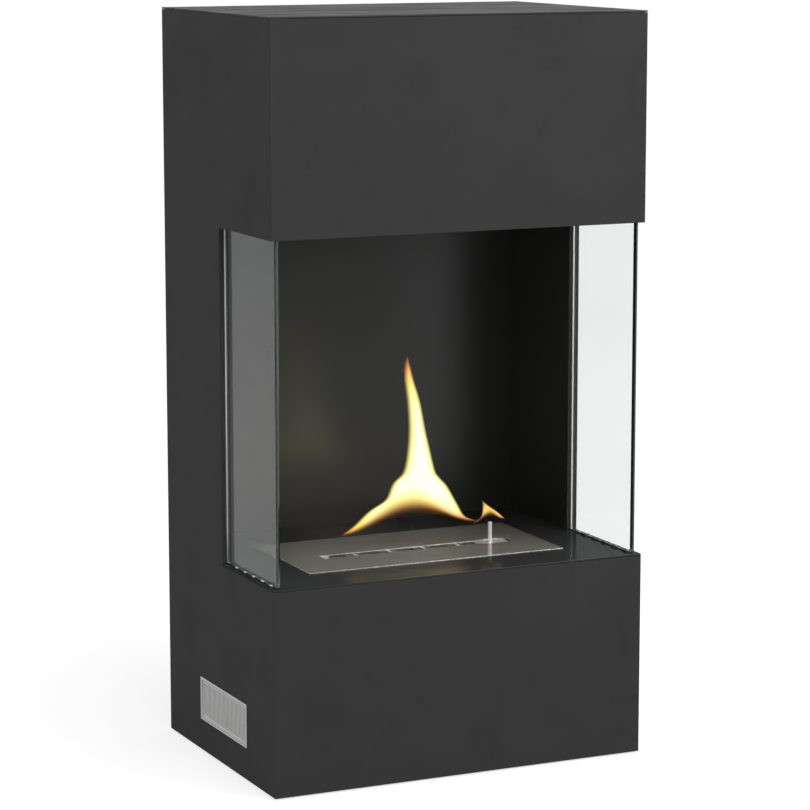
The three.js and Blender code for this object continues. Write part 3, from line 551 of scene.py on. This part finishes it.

# %% [markdown]
# ## Glass and its silicone pads
#
# A pane is a closed solid, so light bends in one face and out of the other and is mirrored a little by both.
# Face on it is clear; through its long edges light travels far inside the glass and comes out dark green.
# That is given as an absorption inside the solid, so the thickness does the work. The pane stands on clear
# silicone, whose row of small saddles carries painted glints.

# %% Glass
GLASS_KEEPS = (0.35, 0.85, 0.80, 1.0)  # share of the absorbing strength that each colour escapes
GLASS_DENSITY = 3.0  # per metre
GLASS_IOR = 1.35  # real glass has 1.52, which would mirror more of the white studio
SMEAR_KEEPS = (0.98, 0.985, 0.985)  # share of each colour that a smear lets through


def glass(name, polish, dull, tone, clear=1.0):
    """Glass that lets its tone through two faces. Its faint smears go from the polished to the dull
    roughness. Where clear is less than 1, the rest of the surface is ground so fine that it scatters light
    like paint."""
    material, tree, shader = open_finish(name)
    smear = effect(tree, blotches, Scale=16.0, From=0.50, To=0.85, Warp=0.4)
    smeared = [kept * part for kept, part in zip(SMEAR_KEEPS, tone)]
    feed(tree, shader, {
        "Base Color": blend_colour(tree, smear, (*tone, 1.0), (*smeared, 1.0)),
        "Roughness": between(tree, smear, polish, dull),
        "IOR": GLASS_IOR, "Transmission Weight": clear})
    inside = put(tree, "ShaderNodeVolumeAbsorption", {"Color": GLASS_KEEPS, "Density": GLASS_DENSITY})
    feed(tree, tree.nodes["Material Output"], {"Volume": inside.outputs[0]})
    tell(material)
    return material


pane_glass = glass("clear_toughened_glass", polish=0.0, dull=0.012, tone=(0.92, 0.92, 0.92))
ground_glass = glass("ground_glass_edge", polish=0.42, dull=0.55, tone=(0.50, 0.50, 0.50))
satin_glass = glass("satin_front_edge", polish=0.20, dull=0.28, tone=(0.17, 0.22, 0.21), clear=0.6)

# %% Silicone pads
SADDLES = 5
SADDLE_END = 0.005  # from the strip's end to the middle of the first saddle
SADDLE_SHINE, SADDLE_BLUR = 0.0034, 0.001  # half the length of a saddle that shines
OUT_MIDDLE, OUT_HALF, OUT_BLUR = 0.0030, 0.0032, 0.0003  # the strip's part outside the pane, from its face
CREST_BELOW, CREST_HALF, CREST_BLUR = 0.0002, 0.0006, 0.0004  # the lit crest, down from the strip's top
SILICONE_DARK = (0.030, 0.036, 0.036, 1.0)
SILICONE_LIT = (0.80, 0.84, 0.84, 1.0)

strip_low, strip_high = extent("right_glass_pad_strip")
pane_low, pane_high = extent("right_glass_pane")
first_saddle = strip_low[1] + SADDLE_END
saddle_pitch = (strip_high[1] - strip_low[1] - 2 * SADDLE_END) / (SADDLES - 1)

clear_silicone, tree, shader = open_finish("clear_silicone")
out = arithmetic(tree, "ABSOLUTE", axis(tree, "X"), 0.0)
saddle = overlap(tree, in_bands(tree, axis(tree, "Y"), first_saddle, saddle_pitch, SADDLE_SHINE, SADDLE_BLUR),
                 in_band(tree, out, pane_high[0] + OUT_MIDDLE, OUT_HALF, OUT_BLUR))
crest = in_band(tree, axis(tree, "Z"), strip_high[2] - CREST_BELOW, CREST_HALF, CREST_BLUR)
# painted glints: the saddles' crests outside the pane are coloured pale
feed(tree, shader, {
    "Base Color": blend_colour(tree, overlap(tree, saddle, crest), SILICONE_DARK, SILICONE_LIT),
    "Roughness": 0.10, "IOR": 1.41})
tell(clear_silicone)

# %% Wool and rubber
WOOL_COLOUR, WOOL_SHADE = (0.80, 0.78, 0.73, 1.0), (0.62, 0.59, 0.53, 1.0)
RUBBER_COLOUR, RUBBER_SCUFF = (0.020, 0.020, 0.020, 1.0), (0.034, 0.033, 0.032, 1.0)

ceramic_wool, tree, shader = open_finish("ceramic_wool")
fibres = effect(tree, brushed, Along_X=240.0, Along_Y=1400.0, Along_Z=500.0)
tufts = effect(tree, blotches, Scale=70.0, From=0.35, To=0.7, Warp=1.5)
feed(tree, shader, {"Base Color": blend_colour(tree, tufts, WOOL_COLOUR, WOOL_SHADE), "Roughness": 0.95})
join_bump(tree, shader, fibres, distance=0.0006, strength=0.8)
tell(ceramic_wool)

glide_rubber, tree, shader = open_finish("glide_rubber")
scuff = effect(tree, blotches, Scale=60.0, From=0.4, To=0.8, Warp=0.3)
feed(tree, shader, {"Base Color": blend_colour(tree, scuff, RUBBER_COLOUR, RUBBER_SCUFF), "Roughness": 0.85})
tell(glide_rubber)

# %% Give every CAD piece its finish
FINISHES = {
    "casing_paint": casing_paint, "firebox_paint": firebox_paint, "zinc_steel": zinc_steel,
    "grille_steel": grille_steel, "burner_steel": burner_steel, "pane_glass": pane_glass,
    "clear_silicone": clear_silicone, "ceramic_wool": ceramic_wool, "glide_rubber": glide_rubber,
}
OWN_FINISH = {
    "top_panel": top_paint, "hearth_floor": hearth_paint,
    "shutter_plate": shutter_steel, "shutter_pin": shutter_steel,
}
slot_of = {row["node"]: row["material_slot"] for row in frame["record"]["subparts"]}
body_of = {node: body for body, nodes in frame["record"]["behaviour"]["bodies"].items() for node in nodes}
for name, node in frame["nodes"].items():
    node.data.materials.clear()
    node.data.materials.append(OWN_FINISH.get(name, FINISHES[slot_of[name]]))
print("finished pieces:", len(slot_of))

# %% [markdown]
# ## Folded and ground edges
#
# A CAD edge is perfectly sharp, and a real one never is: folded sheet has a small radius, and glass edges
# are ground to a narrow bright facet. The sheets, panes and burner pieces that show are copied, their loose
# triangles are merged into whole faces, and a Bevel modifier rounds what is left. The copy is at most as
# large as its CAD piece, so the fireplace keeps its size.

# %% How round each kind of edge is
# radius in metres, and facets across it
FOLDED, LAID, CUT = (0.0004, 2), (0.0002, 2), (0.00025, 2)
GROUND, MOULDED = (0.0003, 1), (0.0003, 2)
EDGES = {
    "left_side_panel": FOLDED, "right_side_panel": FOLDED, "lower_front_panel": FOLDED,
    "upper_front_panel": FOLDED, "top_panel": FOLDED, "hearth_floor": LAID,
    "left_glass_pane": GROUND, "right_glass_pane": GROUND,
    "left_glass_pad_strip": MOULDED, "right_glass_pad_strip": MOULDED,
    "burner_top_plate": CUT, "left_grille_frame": MOULDED, "right_grille_frame": MOULDED,
}
print("pieces with eased edges:", len(EDGES))

# %% Grind the panes' front corners
GROUND_ANGLE = radians(38)  # between a pane's front edge face and its ground corners
INNER_FACET, OUTER_FACET = 0.0026, 0.0008  # how far a facet reaches across the edge
pane_inner, pane_outer, pane_front = pane_low[0], pane_high[0], pane_low[1]
GROUND_CORNERS = {  # a corner's place along X, the way out of the pane that is the facet's, and its width
    "left_glass_pane": ((-pane_inner, 1, INNER_FACET), (-pane_outer, -1, OUTER_FACET)),
    "right_glass_pane": ((pane_inner, -1, INNER_FACET), (pane_outer, 1, OUTER_FACET))}
EDGEWISE, FRONTWISE = 0.9, 0.98  # how squarely a face must look that way to get an edge's finish


def grind(work, corner, side, width):
    """Cuts a long flat facet off a pane's front corner, and closes the cut with a face."""
    outward = (side * sin(GROUND_ANGLE), -cos(GROUND_ANGLE), 0.0)
    everything = work.verts[:] + work.edges[:] + work.faces[:]
    cut = bmesh.ops.bisect_plane(work, geom=everything, plane_co=(corner - side * width, pane_front, 0.0),
                                 plane_no=outward, clear_outer=True)
    rim = [part for part in cut["geom_cut"] if isinstance(part, bmesh.types.BMEdge)]
    bmesh.ops.contextual_create(work, geom=rim)


def pane_finish(normal):
    """The number of a pane face's finish, from the way it looks: 1 is ground, for the back, top and bottom
    edges, 2 is satin, for the front edge, and 0 is clear."""
    if normal.y > EDGEWISE or abs(normal.z) > EDGEWISE:
        return 1
    return 2 if normal.y < -FRONTWISE else 0


# %% Ease the edges that show
MERGE = 1e-6  # corners closer than this are one
FLAT = radians(2)
SHARP = radians(60)


def eased(name, radius, facets):
    """Shows a CAD piece through a copy whose sharp edges are rounded. Doubled corners are merged, triangles
    that lie in one plane become one face, and each edge that turns by more than SHARP is cut back by the
    radius."""
    mesh = frame["nodes"][name].data.copy()
    work = bmesh.new()
    work.from_mesh(mesh)
    bmesh.ops.remove_doubles(work, verts=work.verts, dist=MERGE)
    bmesh.ops.dissolve_limit(work, angle_limit=FLAT, verts=work.verts, edges=work.edges)
    for corner, side, width in GROUND_CORNERS.get(name, ()):
        grind(work, corner, side, width)
    if name in GROUND_CORNERS:
        mesh.materials.append(ground_glass)
        mesh.materials.append(satin_glass)
        for face in work.faces:
            face.material_index = pane_finish(face.normal)
    work.to_mesh(mesh)
    work.free()
    piece = bpy.data.objects.new(name + "_eased", mesh)
    bpy.context.scene.collection.objects.link(piece)
    bevel = piece.modifiers.new("eased_edges", "BEVEL")
    bevel.width = radius
    bevel.segments = facets
    bevel.limit_method = "ANGLE"
    bevel.angle_limit = SHARP
    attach(piece, body_of[name])
    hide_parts(name)
    print(piece.name, "faces before the bevel:", len(mesh.polygons))


for name, (radius, facets) in EDGES.items():
    eased(name, radius, facets)

# %% [markdown]
# ## The flame
#
# A small ethanol flame hangs above the burner's slot. It has no skin, only gas that glows: white in the
# middle, yellow around it and a thin brown rim, with a soft orange underside where the fuel vapour only
# begins to burn. It is made as nested closed shells. Each is a surface of two parameters: the level runs
# from the underside to the tip, and the angle runs round the flame. A shell further in is narrower, hangs
# higher and ends lower, so from every side the eye looks through the rim into the heart, as it does through
# real gas.

# %% The flame's outline
MM_IN_METRE = 1000

# One row a level, in millimetres: left edge (x, z), then right edge (x, z)
TONGUE = np.array([
    (-99, 272, 94, 275),  # the two tails, over the slot's ends
    (-79, 284, 72, 283),
    (-59, 300, 60, 301),
    (-37, 312, 47, 323),  # the left shoulder is lower
    (-27, 331, 36, 335),
    (-13, 344, 30, 344),
    (-7, 368, 23, 370),  # the neck
    (-5, 395, 17, 394),
    (-7, 430, 10, 429),
    (-11, 459, 1, 458),
    (-11, 479, -4, 479),
    (-7, 488, -7, 488)]) / MM_IN_METRE
LICK = np.array([  # the small flame at the slot's right end
    (80, 273, 127, 275),
    (92, 280, 114, 286),
    (95, 291, 103, 294),
    (93, 303, 93, 303)]) / MM_IN_METRE
print("the flame's tip is at z:", TONGUE[-1, 1])


def smooth_rows(rows, levels):
    """Each column of the rows, read at fractional levels along a cubic curve, which passes through every
    row and leaves it in the direction from the row before to the row after."""
    last = len(rows) - 1
    start = np.clip(np.floor(levels).astype(int), 0, last - 1)
    t = (levels - start)[:, None]
    before, here = rows[np.maximum(start - 1, 0)], rows[start]
    there, after = rows[start + 1], rows[np.minimum(start + 2, last)]
    return here + 0.5 * t * (there - before + t * (
        2 * before - 5 * here + 4 * there - after + t * (3 * (here - there) + after - before)))


# %% One shell
ROUND = 48  # points round the flame
TALL = 110  # levels from the underside to the tip
TIP_CUT = 0.4  # of a level left off at the tip, for each level left off below
ARCH_POWER = 2.4  # how quickly the underside's arch falls away towards the flame's ends
LIFT_POWER = 4.0  # the same for the raised underside of an inner shell
LEFT_INSET, RIGHT_INSET = 1.35, 0.8  # shares of an inset on each side, for the rim is wider on the left
LOW_END, TIP_END = 1.25, 1.5  # levels over which the depth grows from nothing
ROUNDEST = 0.9  # the depth is at most this share of half the width
LEAST_DEPTH = 0.0005  # and this many metres more
TINY = 1e-6  # keeps a width or an inset that is divided by from being 0


def shell(rows, cut, inset, arch, lift, arch_levels, depth):
    """Points of one closed shell on a grid of TALL levels by ROUND angles.

    Across a level, s is the cosine of the angle, from -1 at the left edge to 1 at the right. x goes evenly
    from edge to edge, less the inset. z goes evenly too, plus the arch and the lift, which fall away as
    (1 - s^2) to a power of their own and fade as a half cosine over the lowest levels. y swings to both
    sides of the slot by the depth times the sine, and the depth returns to nothing at both ends."""
    top = len(rows) - 1
    along = 0.5 - 0.5 * np.cos(np.linspace(0, np.pi, TALL))
    levels = np.clip(cut + (top - (1 + TIP_CUT) * cut) * along, 0, top)
    x0, z0, x1, z1 = (column[:, None] for column in smooth_rows(rows, levels).T)
    angle = np.linspace(0, 2 * np.pi, ROUND, endpoint=False)[None, :]
    s, swing = np.cos(angle), np.sin(angle)
    outer = np.maximum((x1 - x0) / 2, TINY)
    room = np.minimum(1.0, 2 * outer / max(inset * (LEFT_INSET + RIGHT_INSET), TINY))
    from_left, from_right = room * inset * LEFT_INSET, room * inset * RIGHT_INSET
    half = outer - (from_left + from_right) / 2
    x = (x0 + x1 + from_left - from_right) / 2 + half * s
    share = np.clip((x - (x0 + x1) / 2) / outer, -1, 1)
    fade = 0.5 + 0.5 * np.cos(np.pi * np.clip(levels / arch_levels, 0, 1))[:, None]
    hump = arch * (1 - share**2) ** ARCH_POWER + lift * (1 - share**2) ** LIFT_POWER
    ends = np.clip((levels - levels[0]) / LOW_END, 0, 1) * np.clip((levels[-1] - levels) / TIP_END, 0, 1)
    y = slot_y + np.minimum(depth, ROUNDEST * half + LEAST_DEPTH) * np.sqrt(ends)[:, None] * swing
    z = (z0 + z1) / 2 + share * (z1 - z0) / 2 + hump * fade
    return np.stack([x, y, z], axis=-1)


def closed_faces(tall, around, first):
    """Quads between neighbouring levels of a closed loop, and one many-sided face over each end."""
    row = np.arange(tall - 1)[:, None] * around
    here, beside = np.arange(around)[None, :], (np.arange(around)[None, :] + 1) % around
    quads = np.stack([row + here, row + beside, row + around + beside, row + around + here], -1)
    low = np.arange(around)[::-1]
    high = (tall - 1) * around + np.arange(around)
    return [(face + first).tolist() for face in (*quads.reshape(-1, 4), low, high)]


# %% [markdown]
# ## The colours of burning gas
#
# Thin gas adds its light to what is behind it, so the colour deepens from brown at the rim through yellow to
# white where the flame is thickest. Each shell has its own light and its own cover, the share of what is
# behind it that it hides. The light is far stronger than it looks, because each shell hides so little.
# Towards the underside, the tip and the two tails the gas is cooler. Blue is the first colour to go there,
# then green, and red is the last.

# %% Light and cover of each shell
# inset and lift in millimetres, levels left off below, light, cover
SHELLS = [
    (0.0, 0.0, 0.00, (0.63, 0.42, 0.16), 0.10), (1.0, 3.0, 0.15, (1.08, 0.95, 0.32), 0.16),
    (2.2, 6.5, 0.30, (1.54, 1.52, 0.62), 0.22), (3.6, 10.5, 0.45, (1.36, 1.42, 0.66), 0.28),
    (5.2, 15.0, 0.62, (1.27, 1.32, 0.92), 0.36), (7.0, 20.0, 0.82, (1.43, 1.48, 1.55), 0.50),
    (9.0, 26.0, 1.05, (1.80, 1.84, 2.10), 0.90)]
LICK_DEEP = 5  # the small flame has only this many of the shells
LICK_TINT = (0.98, 1.12, 1.35)
LICK_SHELLS = [(*row[:3], tuple(np.multiply(row[3], LICK_TINT)), row[4]) for row in SHELLS[:LICK_DEEP]]
print("shells:", len(SHELLS), "and", len(LICK_SHELLS))

# %% Where the gas is cool
COOLEST = np.array([0.34, 0.17, 0.09])  # what is left of red, green and blue in the coolest gas
ABOVE_UNDERSIDE = np.array([0.012, 0.026, 0.036])  # metres over which red, green and blue come back
BELOW_TIP = np.array([0.030, 0.058, 0.088])
FROM_LEFT = np.array([0.014, 0.034, 0.062])
FROM_RIGHT = np.array([0.016, 0.034, 0.050])
REACHES = np.array([ABOVE_UNDERSIDE, BELOW_TIP, FROM_LEFT, FROM_RIGHT])
LICK_REACHES = REACHES * np.array([0.8, 0.45, 0.30, 0.6])[:, None]  # shorter ones for the small flame
HEAD_START = 0.12  # of a reach, so that an edge isn't quite at its coolest
THIN_TAIL, THINNEST = 0.050, 0.35  # metres from a tail over which the cool underside grows to full thickness
SOFT_EDGE = 0.009  # metres over which a shell fades in above its own underside
SOFT_TAIL, LEAST_SOFT = 0.036, 0.02  # metres from a tail over which that edge grows from a small share
OUTER_START, INNER_START = 0.5, 0.05  # how far along that fading the outer shell and the others start
COOL_COVER = 0.35  # share of its cover that the coolest gas keeps


def smooth(value):
    """Goes from 0 to 1 with no corner at either end, as 3 v^2 - 2 v^3."""
    value = np.clip(value, 0, 1)
    return value * value * (3 - 2 * value)


def height_at(level, x):
    """The height of a level at x, read along straight lines between its points."""
    order = np.argsort(level[:, 0])
    return np.interp(x, level[order, 0], level[order, 2])


def warmth_of(grid, rows, low, reaches, size):
    """How warm the gas at each point is, from 0 to 1, for red, green and blue. It grows with the distances
    to the underside, the tip and the two tails, each over its own reach, and they are multiplied."""
    x, z = grid[:, 0], grid[:, 2]
    from_left, from_right = x - rows[0, 0], rows[0, 2] - x
    thick = np.clip(np.minimum(from_left, from_right) / (THIN_TAIL * size), THINNEST, 1.0)
    warm = np.ones((len(grid), 3))
    distances = ((z - height_at(low, x)) / thick, rows[-1, 1] - z, from_left, from_right)
    for distance, reach in zip(distances, reaches):
        warm *= smooth(distance[:, None] / reach + HEAD_START)
    return warm


def fade_in(grid, rows, size, start):
    """How far each point of a shell has faded in above the shell's own underside, from 0 to 1."""
    x, z = grid[:, 0], grid[:, 2]
    from_tail = np.minimum(x - rows[0, 0], rows[0, 2] - x)
    tails = np.clip(from_tail / (SOFT_TAIL * size), LEAST_SOFT, 1)
    return smooth((z - height_at(grid[:ROUND], x)) / (SOFT_EDGE * size * tails) + start)


# %% The flame's shells as one mesh
SLIMMER = 0.1  # share of the depth that each shell loses against the one around it


def flame_piece(name, rows, shells, reaches, size, arch, arch_levels, depth):
    """All shells of one flame in one mesh, with a light and a cover value at every point. The size scales
    the insets, lifts and cuts."""
    points, lights, covers, faces = [], [], [], []
    low = shell(rows, 0.0, 0.0, arch, 0.0, arch_levels, depth)[0]
    for number, (inset, lift, cut, light, cover) in enumerate(shells):
        grid = shell(rows, cut * size, inset * size / MM_IN_METRE, arch, lift * size / MM_IN_METRE,
                     arch_levels, depth * (1 - SLIMMER * number)).reshape(-1, 3)
        faces += closed_faces(TALL, ROUND, number * TALL * ROUND)
        warm = warmth_of(grid, rows, low, reaches, size)
        soft = fade_in(grid, rows, size, OUTER_START if number == 0 else INNER_START)
        points.append(grid)
        lights.append(np.array(light)[None, :] * (COOLEST + (1 - COOLEST) * warm))
        covers.append(cover * (COOL_COVER + (1 - COOL_COVER) * warm[:, 0]) * soft)
    mesh = bpy.data.meshes.new(name)
    mesh.from_pydata(np.concatenate(points).tolist(), [], faces)
    glow = mesh.attributes.new("glow", "FLOAT_COLOR", "POINT")
    rgba = np.column_stack([np.concatenate(lights), np.ones(len(mesh.vertices))])
    glow.data.foreach_set("color", rgba.astype(np.float32).ravel())
    veil = mesh.attributes.new("cover", "FLOAT", "POINT")
    veil.data.foreach_set("value", np.concatenate(covers).astype(np.float32))
    mesh.shade_smooth()
    piece = bpy.data.objects.new(name, mesh)
    bpy.context.scene.collection.objects.link(piece)
    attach(piece, "burner")
    print(name, "faces:", len(mesh.polygons))
    return piece


tongue = flame_piece("flame_tongue", TONGUE, SHELLS, REACHES,
                     size=1.0, arch=0.0200, arch_levels=4.5, depth=0.0125)
lick = flame_piece("flame_lick", LICK, LICK_SHELLS, LICK_REACHES,
                   size=0.45, arch=0.0062, arch_levels=1.5, depth=0.0042)

# %% Burning gas
ON_SURFACES, IN_MIRRORS = 2.1, 1.7  # how strong its light is there, against 1 straight on
MOST_CROSSED = 32  # more than the shells a ray can cross

gas = bpy.data.materials.new("burning_gas")
tree = empty_tree(gas)
glow = put(tree, "ShaderNodeAttribute", attribute_name="glow")
cover = put(tree, "ShaderNodeAttribute", attribute_name="cover")
light = put(tree, "ShaderNodeEmission",
            {"Color": glow.outputs["Color"], "Strength": by_ray(tree, ON_SURFACES, IN_MIRRORS)})
clear = put(tree, "ShaderNodeBsdfTransparent")
mixed = put(tree, "ShaderNodeMixShader", {0: cover.outputs["Fac"], 1: clear.outputs[0], 2: light.outputs[0]})
put(tree, "ShaderNodeOutputMaterial", {"Surface": mixed.outputs[0]})
for piece in (tongue, lick):
    piece.data.materials.append(gas)
bpy.context.scene.cycles.transparent_max_bounces = MOST_CROSSED
tell(gas)
